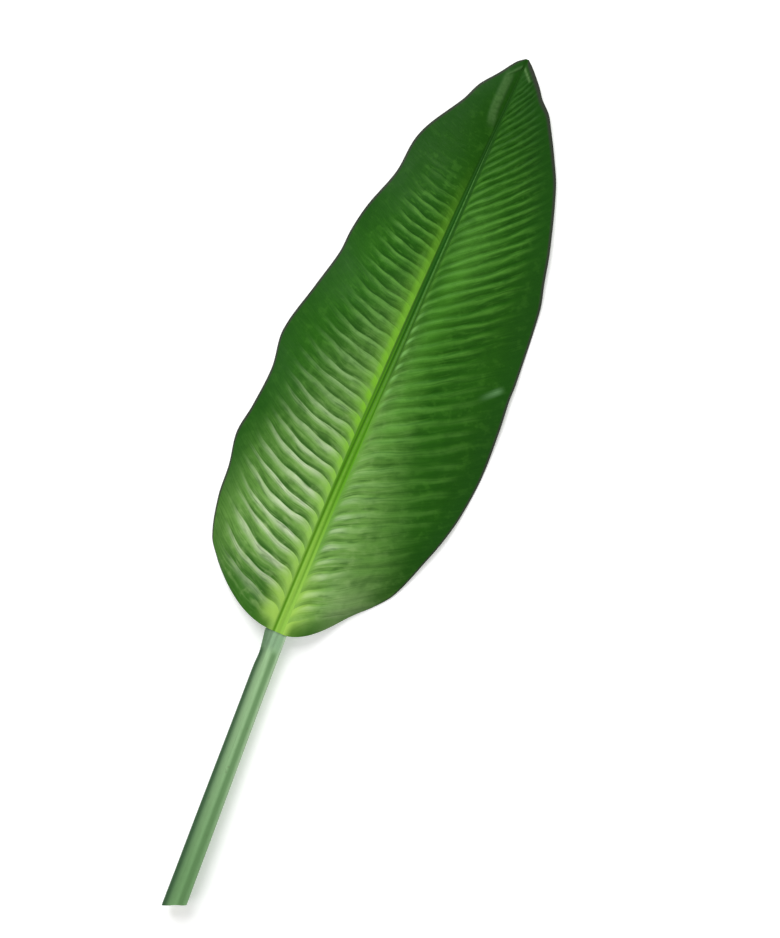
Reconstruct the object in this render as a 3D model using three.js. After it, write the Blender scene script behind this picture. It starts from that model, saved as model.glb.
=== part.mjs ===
// A banana leaf as cut from a young plant, lying on its back with its upper face up.
// It has two bodies: the pleated blade, and the stalk, which runs on under the blade as its midrib's keel.
// Millimetres. X runs across the leaf, Y along the midrib towards the tip, and Z up from the surface below.
// The origin is on that surface, under the place where the stalk meets the blade.
import * as THREE from "three";

// Blade: overall size, and the half-widths of its margin as [distance along the midrib, distance from it].
const BLADE_LENGTH = 600;
const BLADE_THICKNESS = 0.8;
const TIP_HALF_WIDTH = 1.6;
const LEFT_MARGIN = [
  [40, 80.5], [58, 94], [96, 104], [128, 107], [160, 113], [190, 109], [230, 106.5], [268, 111.5],
  [320, 99.8], [358, 91.5], [383, 90], [410, 85], [450, 72.5], [485, 69.2], [505, 62.2], [540, 41.6],
  [560, 33], [578, 19.8], [594, 8.8], [BLADE_LENGTH, TIP_HALF_WIDTH],
];
const RIGHT_MARGIN = [
  [40, 57], [58, 75], [77, 89], [120, 104.4], [145, 112], [172, 117.5], [213, 121], [262, 118.6],
  [292, 115.6], [310, 115], [383, 108], [410, 101], [440, 93.6], [498, 74.6], [525, 60.8], [548, 47.4],
  [560, 39.7], [570, 29], [580, 21.3], [594, 8.4], [BLADE_LENGTH, TIP_HALF_WIDTH],
];

// Each half of the blade. The base has a curve of its own, as a power, which the veins follow up to the base
// blend's distance. The sweep is how far a vein's outer end lies ahead of its foot, as shares of the length:
// at the base, gained along the leaf by a power, and surging just past the base. The hook is the
// share of that sweep made close to the midrib, and the curl is how much the rest bends forward. Pleats fade
// out between the two shares of the half-width given for the base and the tip of the leaf, and flatten
// between the two shares of the length. The wave is the height, the length and the first low place of the
// margin's waves.
const LEFT = {
  side: -1, margin: LEFT_MARGIN, baseCurve: 2, baseBlend: 28, sweepAtBase: 0.0667, sweepGain: 0.12,
  sweepPower: 1, sweepSurge: 1.1, hook: 0.16, curl: 0.92, fadeAtBase: [0.56, 0.88],
  fadeAtTip: [0.42, 0.8], flatten: [0.68, 0.82], waveHeight: 7, waveLength: 110, waveStart: 158,
};
const RIGHT = {
  side: 1, margin: RIGHT_MARGIN, baseCurve: 1.9, baseBlend: 9, sweepAtBase: 0.0667, sweepGain: 0.7,
  sweepPower: 1.65, sweepSurge: 1, hook: 0.1, curl: 0.25, fadeAtBase: [0.1, 0.46], fadeAtTip: [0.7, 0.97],
  flatten: [0.9, 0.99], waveHeight: 4, waveLength: 150, waveStart: 205,
};

// Pleats between the side veins: how many, how their spacing shrinks towards the tip, their height at the
// base of the leaf, how far their spacing wanders and their height varies, the share of the half-width in
// which they rise, and the shares of the length between which their fading changes. Then where the first full
// pleat lies, how soon veins hook, and how long the sweep surges.
const PLEATS = 50;
const PLEAT_TAPER = 0.46;
const PLEAT_HEIGHT = 2.6;
const PLEAT_WANDER = 1.5;
const PLEAT_UNEVENNESS = 0.18;
const PLEAT_START = 0.05;
const FADE_CHANGE = [0.2, 0.65];
const FIRST_FULL_PLEAT_AT = 30;
const HOOK_LENGTH = 0.05;
const SURGE_LENGTH = 0.09;

// Midrib as seen from above: a slightly bowed channel with a low rib along its middle, narrowing to the tip.
const MIDRIB_BOW = -3;
const CHANNEL_HALF_BASE = 5.6;
const CHANNEL_HALF_TIP = 1.2;
const CHANNEL_TAPER = 1.6;
const CHANNEL_DEPTH = 1.5;
const RIB_HEIGHT = 0.7;

// How the blade arches from the midrib down to its margins, which just clear the surface below.
const INNER_SLOPE = 0.28;
const OUTER_SLOPE = -0.3;
const MARGIN_CLEARANCE = 0.9;
const TIP_BLEND = 8;

// A low flat fold in the left half beside the midrib, near the tip. Its lower end bends in to the midrib.
const FOLD_HEIGHT = 0.9;
const FOLD_OUT = 9.3;
const FOLD_BEND = 5;
const FOLD_HALF_WIDTH = 4.2;
const FOLD_STRAIGHT_FROM = 552;
const FOLD_FROM = 522;
const FOLD_TO = 588;
const FOLD_RUN_OUT = 14;

// Stalk and keel: half-width and depth at the cut end, at the blade's foot and at the tip of the leaf.
const STALK_LENGTH = 278;
const STALK_HALF_WIDTH = 11;
const NECK_HALF_WIDTH = 10.2;
const KEEL_TIP_HALF_WIDTH = 1.7;
const STALK_DEPTH = 19.5;
const NECK_DEPTH = 16.5;
const KEEL_TIP_DEPTH = 1.6;
const KEEL_END = 585;
const KEEL_TAPER = 0.9;
const STALK_SWAY = 14.5;
const STALK_CHANNEL_DEPTH = 3.2;
const STALK_CHANNEL_OFFSET = 0.14;
const STALK_CHANNEL_SPREAD = 0.42;
const STALK_FLANGE_RISE = 1.6;
const STALK_FLANGE_ROUNDING = 1.6;
const NECK_BLEND = 45;
const STALK_FULL_WIDTH_AT = 230;
const KEEL_SHOULDER_SLOPE = 0.1;
const COLLAR_FLARE = 1.5;
const COLLAR_LENGTH = 10;
const WAIST_AT = -25;
const WAIST_DEPTH = 0.9;
const WAIST_LENGTH = 9;
const CUT_SLANT = Math.tan(THREE.MathUtils.degToRad(23.6));
const FLAT_SHARE = 0.36;
const SIDE_LEVEL = 0.56;
const SEAT_GAP = 0.45;

// The keel rests flat between these places along Y, then bends a little off the surface towards both ends.
const REST_FROM = -70;
const REST_TO = 170;
const STALK_LIFT = 5;
const BLADE_LIFT = 11;
const TIP_LIFT = 1.2;

// How finely the solids are faceted.
const ROWS = PLEATS * 2;
const HALF_COLUMNS = 8;
const COLUMN_CROWDING = 1.5;
const STALK_STATIONS = 18;
const STALK_CROWDING = 1.5;
const KEEL_STATIONS = 30;
const KEEL_CROWDING = 1.25;
const ARC_STEPS = 4;

const BLADE_LOOK = { color: 0x2c6a1c, roughness: 0.42, metalness: 0 };
const STALK_LOOK = { color: 0x7fae72, roughness: 0.5, metalness: 0 };

const { lerp, smoothstep, clamp } = THREE.MathUtils;

function bell(x) {
  return Math.exp(-x * x);
}

// A smooth curve through [place, value] pairs, with each slope taken from the two neighbours.
function valueAlong(pairs, place) {
  const slopeAt = (k) => {
    const before = pairs[Math.max(k - 1, 0)];
    const after = pairs[Math.min(k + 1, pairs.length - 1)];
    return (after[1] - before[1]) / (after[0] - before[0]);
  };
  let k = 0;
  while (k < pairs.length - 2 && place > pairs[k + 1][0]) k += 1;
  const span = pairs[k + 1][0] - pairs[k][0];
  const f = clamp((place - pairs[k][0]) / span, 0, 1);
  const rest = 1 - f;
  return (1 + 2 * f) * rest * rest * pairs[k][1] + f * rest * rest * span * slopeAt(k)
    + f * f * (3 - 2 * f) * pairs[k + 1][1] - f * f * rest * span * slopeAt(k + 1);
}

// The place on the midrib where a vein starts, counted in pleats from the base. The spacing wanders a little.
function footOf(pleat) {
  const t = pleat / PLEATS;
  const share = (1 - PLEAT_TAPER ** t) / (1 - PLEAT_TAPER);
  return BLADE_LENGTH * share + PLEAT_WANDER * PLEAT_TAPER ** t * (1 - t) * Math.sin(2.3 * pleat);
}

// Sideways place of the midrib's middle.
function midribMiddle(y) {
  return MIDRIB_BOW * Math.sin(Math.PI * clamp(y / BLADE_LENGTH, 0, 1));
}

// How far the keel is bent up off the surface at a place along Y.
function liftAt(y) {
  if (y < REST_FROM) {
    return STALK_LIFT * ((REST_FROM - y) / (STALK_LENGTH + REST_FROM)) ** 2;
  }
  const f = clamp((y - REST_TO) / (BLADE_LENGTH - REST_TO), 0, 1);
  return BLADE_LIFT * Math.sin(Math.PI * f) ** 2 + TIP_LIFT * f * f;
}

function keelDepthAt(y) {
  const f = clamp(y / BLADE_LENGTH, 0, 1);
  return lerp(KEEL_TIP_DEPTH, NECK_DEPTH, (1 - f) ** KEEL_TAPER);
}

function channelHalfAt(y) {
  const f = clamp(y / BLADE_LENGTH, 0, 1);
  return lerp(CHANNEL_HALF_BASE, CHANNEL_HALF_TIP, f ** CHANNEL_TAPER);
}

// Height of the blade's middle surface at the bottom of the midrib's channel.
function midribHeightAt(y) {
  return liftAt(y) + keelDepthAt(y) + SEAT_GAP + BLADE_THICKNESS / 2;
}

// Height of the blade at a distance x from the midrib's middle: the rib, the channel's floor and shoulders,
// then the inner slope.
function bladeHeightNearMidrib(x, y) {
  const half = channelHalfAt(y);
  const scale = half / CHANNEL_HALF_BASE;
  const f = Math.abs(x) / half;
  const rib = RIB_HEIGHT * scale * Math.max(0, 1 - 2 * f);
  const wall = CHANNEL_DEPTH * scale * clamp(2 * f - 1, 0, 1);
  return midribHeightAt(y) + rib + wall + INNER_SLOPE * Math.max(0, Math.abs(x) - half);
}

// The outer end of a vein, on the margin: [distance from the midrib's middle, place along Y].
function veinEnd(half, foot) {
  const t = foot / BLADE_LENGTH;
  const surge = half.sweepSurge * t * Math.exp(-t / SURGE_LENGTH);
  const gained = half.sweepGain * t ** half.sweepPower;
  const y = foot + BLADE_LENGTH * (1 - t) * (half.sweepAtBase + gained + surge);
  return [valueAlong(half.margin, y) - half.side * midribMiddle(foot), y];
}

// A point along a vein in plan, u being 0 at the midrib's channel and 1 at the margin: [distance from it, Y].
function veinPoint(half, foot, u) {
  const [endX, endY] = veinEnd(half, foot);
  const startX = channelHalfAt(foot);
  const hooked = half.hook * (1 - Math.exp(-u / HOOK_LENGTH));
  const curled = (1 - half.hook) * ((1 - half.curl) * u + half.curl * u * u);
  const whole = half.hook * (1 - Math.exp(-1 / HOOK_LENGTH)) + 1 - half.hook;
  const vein = (hooked + curled) / whole;
  const basal = u ** half.baseCurve;
  const nearBase = (1 - smoothstep(foot, 0, half.baseBlend)) ** 2;
  return [lerp(startX, endX, u), foot + (endY - foot) * lerp(vein, basal, nearBase)];
}

// Height of a pleat over the smooth blade: full on a crest, less its height in a crease, fading to both ends.
function pleatHeight(half, foot, u, crest, pleat) {
  const t = foot / BLADE_LENGTH;
  const further = smoothstep(t, ...FADE_CHANGE);
  const fade = [0, 1].map((k) => lerp(half.fadeAtBase[k], half.fadeAtTip[k], further));
  const across = (1 - Math.exp(-u / PLEAT_START)) * (1 - smoothstep(u, fade[0], fade[1]));
  const along = smoothstep(foot, 0, FIRST_FULL_PLEAT_AT) * (1 - smoothstep(t, ...half.flatten));
  const uneven = 1 - PLEAT_UNEVENNESS * (1 - Math.sin(2.4 * pleat + half.side));
  return (crest - 0.5) * PLEAT_HEIGHT * PLEAT_TAPER ** t * uneven * across * along;
}

// Height of the fold near the tip at a distance x from the midrib's middle.
function foldHeight(half, x, y) {
  if (half === RIGHT) return 0;
  const rise = smoothstep(y, FOLD_FROM, FOLD_FROM + FOLD_RUN_OUT);
  const fall = 1 - smoothstep(y, FOLD_TO - FOLD_RUN_OUT, FOLD_TO);
  const bent = Math.max(0, FOLD_STRAIGHT_FROM - y) / (FOLD_STRAIGHT_FROM - FOLD_FROM);
  const out = FOLD_OUT - FOLD_BEND * bent * bent;
  return FOLD_HEIGHT * rise * fall * bell(((x - out) / FOLD_HALF_WIDTH) ** 2);
}

// Height of the blade's middle surface at u along a vein.
function bladeHeight(half, foot, u, crest, pleat) {
  const [x, y] = veinPoint(half, foot, u);
  const [endX, endY] = veinEnd(half, foot);
  const startX = channelHalfAt(foot);
  const span = endX - startX;
  const inner = bladeHeightNearMidrib(startX, y);
  const tipward = clamp(endY / BLADE_LENGTH, 0, 1) ** TIP_BLEND;
  const swell = (1 - Math.cos((2 * Math.PI * (endY - half.waveStart)) / half.waveLength)) / 2;
  const outer = lerp(MARGIN_CLEARANCE + half.waveHeight * swell, inner, tipward);
  const f = clamp((x - startX) / span, 0, 1);
  const rest = 1 - f;
  const arch = (1 + 2 * f) * rest * rest * inner + f * rest * rest * span * INNER_SLOPE
    + f * f * (3 - 2 * f) * outer - f * f * rest * span * OUTER_SLOPE;
  return arch + pleatHeight(half, foot, u, crest, pleat) + foldHeight(half, x, y);
}

// One row of the blade's middle surface, from the left margin over the midrib to the right margin.
// Crests and creases alternate from row to row, and the two halves have them in turn.
function bladeRow(row) {
  const foot = footOf(row / 2);
  const middle = midribMiddle(foot);
  const halfRow = (half) => {
    const crest = (row + (half === LEFT ? 0 : 1)) % 2;
    const points = [];
    for (let k = 1; k <= HALF_COLUMNS; k += 1) {
      const u = (k / HALF_COLUMNS) ** COLUMN_CROWDING;
      const [x, y] = veinPoint(half, foot, u);
      const z = bladeHeight(half, foot, u, crest, row / 2);
      points.push(new THREE.Vector3(middle + half.side * x, y, z));
    }
    return points;
  };
  const midrib = [-1, -0.5, 0, 0.5, 1].map((share) => {
    const x = share * channelHalfAt(foot);
    return new THREE.Vector3(middle + x, foot, bladeHeightNearMidrib(x, foot));
  });
  return [...halfRow(LEFT).reverse(), ...midrib, ...halfRow(RIGHT)];
}

// A sheet of even thickness round a grid of points: an upper face whose fields are split along their shorter
// diagonal, a lower face split alike, and a rim wall.
function sheetGeometry(rows, thickness) {
  const down = rows.length;
  const across = rows[0].length;
  const points = rows.flat();
  const lower = points.length;
  const positions = [thickness / 2, -thickness / 2].flatMap((offset) =>
    points.flatMap((p) => [p.x, p.y, p.z + offset]));
  const at = (i, j) => i * across + j;
  const faces = [];
  const quad = (a, b, c, d) => faces.push(a, b, c, a, c, d);
  for (let i = 0; i < down - 1; i += 1) {
    for (let j = 0; j < across - 1; j += 1) {
      const corners = [at(i, j), at(i, j + 1), at(i + 1, j + 1), at(i + 1, j)];
      const [p, q, r, s] = corners.map((k) => points[k]);
      if (q.distanceTo(s) < p.distanceTo(r)) corners.push(corners.shift());
      quad(...corners);
      const [a, b, c, d] = corners.map((k) => k + lower);
      faces.push(a, c, b, a, d, c);
    }
  }
  const rim = [];
  for (let j = 0; j < across - 1; j += 1) rim.push(at(0, j));
  for (let i = 0; i < down - 1; i += 1) rim.push(at(i, across - 1));
  for (let j = across - 1; j > 0; j -= 1) rim.push(at(down - 1, j));
  for (let i = down - 1; i > 0; i -= 1) rim.push(at(i, 0));
  rim.forEach((here, k) => {
    const next = rim[(k + 1) % rim.length];
    quad(here, here + lower, next + lower, next);
  });
  return indexedGeometry(positions, faces);
}

function indexedGeometry(positions, faces) {
  const geometry = new THREE.BufferGeometry();
  geometry.setAttribute("position", new THREE.Float32BufferAttribute(positions, 3));
  geometry.setIndex(faces);
  geometry.computeVertexNormals();
  return geometry;
}

// Half-width of the stalk, or of the keel under the blade. On the left of the neck a slight collar swells
// out, and a slight waist follows it.
function stalkHalfWidth(y, side) {
  if (y >= 0) {
    return lerp(KEEL_TIP_HALF_WIDTH, NECK_HALF_WIDTH, (1 - y / BLADE_LENGTH) ** KEEL_TAPER);
  }
  const plain = lerp(NECK_HALF_WIDTH, STALK_HALF_WIDTH, smoothstep(-y, NECK_BLEND, STALK_FULL_WIDTH_AT));
  if (side >= 0) return plain;
  return plain + COLLAR_FLARE * bell(y / COLLAR_LENGTH) - WAIST_DEPTH * bell((y - WAIST_AT) / WAIST_LENGTH);
}

// Sideways place of the stalk's middle: it bends slightly off the midrib's line, and follows it under the
// blade.
function stalkMiddle(y) {
  return y < 0 ? (STALK_SWAY * -y) / STALK_LENGTH : midribMiddle(y);
}

// Height of the stalk's upper side at a share of its half-width: a channel between two rounded flanges on the
// open stalk, and the underside of the midrib's channel, less the seat's gap, where the blade covers it.
function stalkTop(y, share, halfWidth) {
  const covered = Math.max(y, 0);
  const channel = channelHalfAt(covered);
  const x = share * halfWidth;
  const seat = bladeHeightNearMidrib(clamp(x, -channel, channel), covered);
  const shoulderRise = KEEL_SHOULDER_SLOPE * Math.max(0, Math.abs(x) - channel);
  const underBlade = seat + shoulderRise - BLADE_THICKNESS / 2 - SEAT_GAP;
  if (y >= 0) return underBlade;
  const depth = lerp(NECK_DEPTH, STALK_DEPTH, smoothstep(-y, 0, STALK_LENGTH));
  const offChannel = (share - STALK_CHANNEL_OFFSET) / STALK_CHANNEL_SPREAD;
  const hollow = STALK_CHANNEL_DEPTH * bell(offChannel);
  const rounding = STALK_FLANGE_ROUNDING * share ** 6;
  const open = liftAt(y) + depth + STALK_FLANGE_RISE - hollow - rounding;
  return lerp(underBlade, open, smoothstep(-y, 0, NECK_BLEND));
}

// One ring of the stalk: along its upper side from left to right, then back round its flat underside.
function stalkRing(y, slant) {
  const middle = stalkMiddle(y);
  const floor = liftAt(y);
  const ring = [];
  const put = (share, z) => {
    const x = share * stalkHalfWidth(y, share);
    ring.push(new THREE.Vector3(middle + x, y + slant * x, z));
  };
  const inner = channelHalfAt(y) / stalkHalfWidth(y, 1);
  const outer = (1 + inner) / 2;
  const places = [-1, -outer, -inner, -inner / 2, 0, inner / 2, inner, outer, 1];
  places.forEach((share) => put(share, stalkTop(y, share, stalkHalfWidth(y, share))));
  const sideHeight = (share) => lerp(floor, stalkTop(y, share, stalkHalfWidth(y, share)), SIDE_LEVEL);
  const under = (share, k) => {
    const angle = (Math.PI / 2) * (k / ARC_STEPS);
    const reach = lerp(FLAT_SHARE, 1, Math.cos(angle));
    put(share * reach, lerp(sideHeight(share), floor, Math.sin(angle)));
  };
  for (let k = 0; k <= ARC_STEPS; k += 1) under(1, k);
  for (let k = ARC_STEPS; k >= 0; k -= 1) under(-1, k);
  return ring;
}

// A closed body through rings of points that run the same way round, with a fan over each end.
function loftGeometry(rings) {
  const count = rings[0].length;
  const middleOf = (ring) => ring.reduce((sum, p) => sum.add(p), new THREE.Vector3()).divideScalar(count);
  const points = [...rings.flat(), middleOf(rings[0]), middleOf(rings[rings.length - 1])];
  const firstMiddle = rings.length * count;
  const faces = [];
  rings.forEach((ring, i) => {
    ring.forEach((_, k) => {
      const next = (k + 1) % count;
      const here = i * count;
      if (i + 1 < rings.length) {
        const ahead = here + count;
        faces.push(here + k, here + next, ahead + next, here + k, ahead + next, ahead + k);
      }
      if (i === 0) faces.push(firstMiddle, next, k);
      if (i === rings.length - 1) faces.push(firstMiddle + 1, here + k, here + next);
    });
  });
  return indexedGeometry(points.flatMap((p) => [p.x, p.y, p.z]), faces);
}

function bladeMesh() {
  const rows = Array.from({ length: ROWS + 1 }, (_, row) => bladeRow(row));
  const material = new THREE.MeshStandardMaterial(BLADE_LOOK);
  const mesh = new THREE.Mesh(sheetGeometry(rows, BLADE_THICKNESS), material);
  mesh.name = "leaf_blade";
  return mesh;
}

function stalkMesh() {
  const rings = [];
  for (let k = STALK_STATIONS; k > 0; k -= 1) {
    const y = -STALK_LENGTH * (k / STALK_STATIONS) ** STALK_CROWDING;
    rings.push(stalkRing(y, k === STALK_STATIONS ? CUT_SLANT : 0));
  }
  for (let k = 1; k <= KEEL_STATIONS; k += 1) {
    rings.push(stalkRing(KEEL_END * (k / KEEL_STATIONS) ** KEEL_CROWDING, 0));
  }
  const mesh = new THREE.Mesh(loftGeometry(rings), new THREE.MeshStandardMaterial(STALK_LOOK));
  mesh.name = "stalk_and_keel";
  return mesh;
}

const leaf = new THREE.Group();
leaf.name = "banana_leaf";
leaf.add(bladeMesh(), stalkMesh());

export default leaf;
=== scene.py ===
"""A cut banana leaf, dressed for the render: the pleated blade and the stalk with the midrib's keel."""
import math
from itertools import chain

import bpy
import numpy as np
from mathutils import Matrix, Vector


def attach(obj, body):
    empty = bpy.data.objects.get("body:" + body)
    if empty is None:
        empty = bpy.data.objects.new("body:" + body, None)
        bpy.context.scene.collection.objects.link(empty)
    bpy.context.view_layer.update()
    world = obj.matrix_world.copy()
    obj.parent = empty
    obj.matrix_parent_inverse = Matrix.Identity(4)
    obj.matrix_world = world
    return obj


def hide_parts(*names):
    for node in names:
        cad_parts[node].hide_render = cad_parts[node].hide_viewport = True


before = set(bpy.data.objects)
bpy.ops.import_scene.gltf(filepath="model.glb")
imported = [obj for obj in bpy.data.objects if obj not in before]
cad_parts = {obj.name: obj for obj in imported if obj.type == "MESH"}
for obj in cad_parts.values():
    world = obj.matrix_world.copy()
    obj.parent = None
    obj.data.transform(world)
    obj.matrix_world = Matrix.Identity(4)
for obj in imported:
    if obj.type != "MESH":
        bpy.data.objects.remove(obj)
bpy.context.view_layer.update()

MM = 0.001

# Blade: overall size, and its margins as (distance along the midrib, distance from it), in mm.
LENGTH = 600.0
THICK_MIDRIB = 0.8
THICK_MARGIN = 0.5
TIP_HALF_WIDTH = 1.6
LEFT_MARGIN = [
    (40, 80.5), (58, 94), (96, 104), (128, 107), (160, 113), (190, 109), (230, 106.5), (268, 111.5),
    (320, 99.8), (358, 91.5), (383, 90), (410, 85), (450, 72.5), (485, 69.2), (505, 62.2), (540, 41.6),
    (560, 33), (578, 19.8), (594, 8.8), (LENGTH, TIP_HALF_WIDTH),
]
RIGHT_MARGIN = [
    (40, 57), (58, 75), (77, 89), (120, 104.4), (145, 112), (172, 117.5), (213, 121), (262, 118.6),
    (292, 115.6), (310, 115), (383, 108), (410, 101), (440, 93.6), (498, 74.6), (525, 60.8), (548, 47.4),
    (560, 39.7), (570, 29), (580, 21.3), (594, 8.4), (LENGTH, TIP_HALF_WIDTH),
]

# The two halves. base_curve and base_blend shape the first veins. sweep, gain, power and surge say how far
# a vein runs forward, and hook and curl how it bends. fade_base, fade_tip and flatten are where the pleats
# run out, and phase shifts them. wave, wave_length and wave_start are the rise and fall of the margin. fold
# is the height of the creases near the tip, and fold_tint the strength of their colour.
LEFT = dict(
    side=-1, margin=LEFT_MARGIN,
    base_curve=2.0, base_blend=28, sweep=0.0667, gain=0.12, power=1, surge=1.1, hook=0.16, curl=0.92,
    fade_base=(0.56, 0.88), fade_tip=(0.42, 0.8), flatten=(0.68, 0.82), phase=0.0,
    wave=7, wave_length=110, wave_start=158, fold=0.9, fold_tint=0.5,
)
RIGHT = dict(
    side=1, margin=RIGHT_MARGIN,
    base_curve=1.9, base_blend=9, sweep=0.0667, gain=0.7, power=1.65, surge=1.0, hook=0.1, curl=0.25,
    fade_base=(0.1, 0.46), fade_tip=(0.7, 0.97), flatten=(0.9, 0.99), phase=0.5,
    wave=4, wave_length=150, wave_start=205, fold=0.4, fold_tint=1.0,
)

# Pleats and veins. A wave is given as (change along the vein, change from one pleat to the next), in radians.
PLEATS = 50
PLEAT_TAPER = 0.46
PLEAT_HEIGHT = 2.6
PLEAT_WANDER = 1.5
PLEAT_WANDER_STEP = 2.3
PLEAT_UNEVENNESS = 0.18
PLEAT_UNEVEN_STEP = 2.4
PLEAT_START = 0.05
PLEAT_LEAN = 0.1
PLEAT_SHARPNESS = 0.9
FADE_CHANGE = (0.2, 0.65)
VEIN_WAVER = 0.05
VEIN_WAVER_FULL_AT = 0.15
VEIN_SLOW_WAVE = (9.0, 1.9)
VEIN_QUICK_WAVE = (21.0, -2.7)
VEIN_QUICK_SHARE = 0.6
CREST_WAVER = 0.16
CREST_WAVE = (13.0, 2.9)
FIRST_FULL_PLEAT_AT = 30
HOOK_LENGTH = 0.05
SURGE_LENGTH = 0.09

# Midrib channel, the blade's arch, and the fold and creases near the tip.
MIDRIB_BOW = -3.0
CHANNEL_HALF_BASE = 5.6
CHANNEL_HALF_TIP = 1.2
CHANNEL_TAPER = 1.6
CHANNEL_DEPTH = 1.5
RIB_HEIGHT = 0.7
RIB_SHARE = 0.5
WALL_SHARE = 1.05
INNER_SLOPE = 0.28
OUTER_SLOPE = -0.3
MARGIN_CLEARANCE = 0.9
TIP_BLEND = 8
FOLD_OUT = 9.3
FOLD_BEND = 5.0
FOLD_HALF_WIDTH = 4.2
FOLD_STRAIGHT_FROM = 552.0
FOLD_FROM = 522.0
FOLD_TO = 588.0
FOLD_RUN_OUT = 14.0
TIP_CREASE_RIGHT = ((0.0, 592.0), (10.5, 581.5))
TIP_CREASE_LEFT = ((0.5, 592.0), (11.5, 579.0))
TIP_CREASE_LEFT_SHARE = 0.9
TIP_CREASE_WIDTH = 1.3

# Stalk and keel.
STALK_LENGTH = 278.0
STALK_HALF_WIDTH = 11.0
NECK_HALF_WIDTH = 10.2
KEEL_TIP_HALF_WIDTH = 1.7
STALK_DEPTH = 19.5
NECK_DEPTH = 16.5
KEEL_TIP_DEPTH = 1.6
KEEL_END = 585.0
KEEL_TAPER = 0.9
STALK_SWAY = 14.5
STALK_CHANNEL_DEPTH = 3.2
STALK_CHANNEL_OFFSET = 0.14
STALK_CHANNEL_SPREAD = 0.42
STALK_FLANGE_RISE = 1.6
FLANGE_ROUND = 3.6
FLANGE_SQUARENESS = 5
NECK_BLEND = 45.0
STALK_FULL_WIDTH_AT = 230.0
COLLAR_FLARE = 1.5
COLLAR_LENGTH = 10.0
WAIST_AT = -25.0
WAIST_DEPTH = 0.9
WAIST_LENGTH = 9.0
CUT_SLANT = math.tan(math.radians(23.6))
CUT_SLANT_LENGTH = 40.0
FLAT_SHARE = 0.36
SIDE_LEVEL = 0.56
SEAT_GAP = 0.45
KEEL_BITE = 0.25
KEEL_SHOULDER_SLOPE = 0.1
REST_FROM = -70.0
REST_TO = 170.0
STALK_LIFT = 5.0
BLADE_LIFT = 11.0
TIP_LIFT = 1.2

# Mesh fineness.
ROWS_PER_PLEAT = 9
HALF_COLUMNS = 44
MIDRIB_COLUMNS = 10
COLUMN_CROWDING = 1.35
STALK_STATIONS = 110
STALK_CROWDING = 1.2
KEEL_STATIONS = 170
KEEL_CROWDING = 1.1
RING_TOP = 40
RING_UNDER = 40
CUT_RINGS = 10
BLADE_SHARP_ANGLE = math.radians(55)
STALK_SHARP_ANGLE = math.radians(60)

# Places in the square of the bake. The blade's two faces lie side by side, with its wall in narrow strips
# beside them. The stalk's skin lies in bands, with its two ends beside them.
FACE_SPAN = (260.0, 620.0)
FACE_AT = (0.20, 0.01)
FACE_SIZE = (0.39, 0.98)
UNDERSIDE_SHIFT = 0.41
WALL_AT = 0.86
WALL_STRIPS = 24
WALL_STRIP_PITCH = 0.005
WALL_STRIP_WIDTH = 0.003
SKIN_BANDS = 4
SKIN_AT = (0.01, 0.02)
SKIN_SIZE = (0.9, 0.94)
CUT_AT = (0.955, 0.2)
CUT_SIZE = 0.06
KEEL_TIP_AT = (0.955, 0.6)
KEEL_TIP_SPAN = 200

# Camera: straight above the leaf, turned so that the leaf leans as in the photograph. The scale holds at the
# leaf's height.
IMAGE_HEIGHT_PX = 938
MM_PER_PX = 600 / 626.5
LEAF_LEAN = math.radians(23.62)
CAMERA_DISTANCE = 3.0
LEAF_HEIGHT = 0.015
VIEW_CENTRE = (36.6, 186.4)
SENSOR = 36.0

# Surroundings. A light has a name, a place from the view's middle as (right, up, over the floor) in m, and
# a power in W.
LIGHTS = [
    ("key", (-1.8, 5.1, 5.4), 510),
    ("fill", (-5.4, -2.4, 5.7), 110),
    ("side", (5.4, -2.4, 5.7), 90),
]
LIGHT_SIZE = 6.0
WHITE = (1, 1, 1, 1)
WORLD_STRENGTH = 0.32
FLOOR_HALF_SIZE = 30.0
FLOOR_ROUGHNESS = 0.85
FLOOR_GLOW = 0.28

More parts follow.
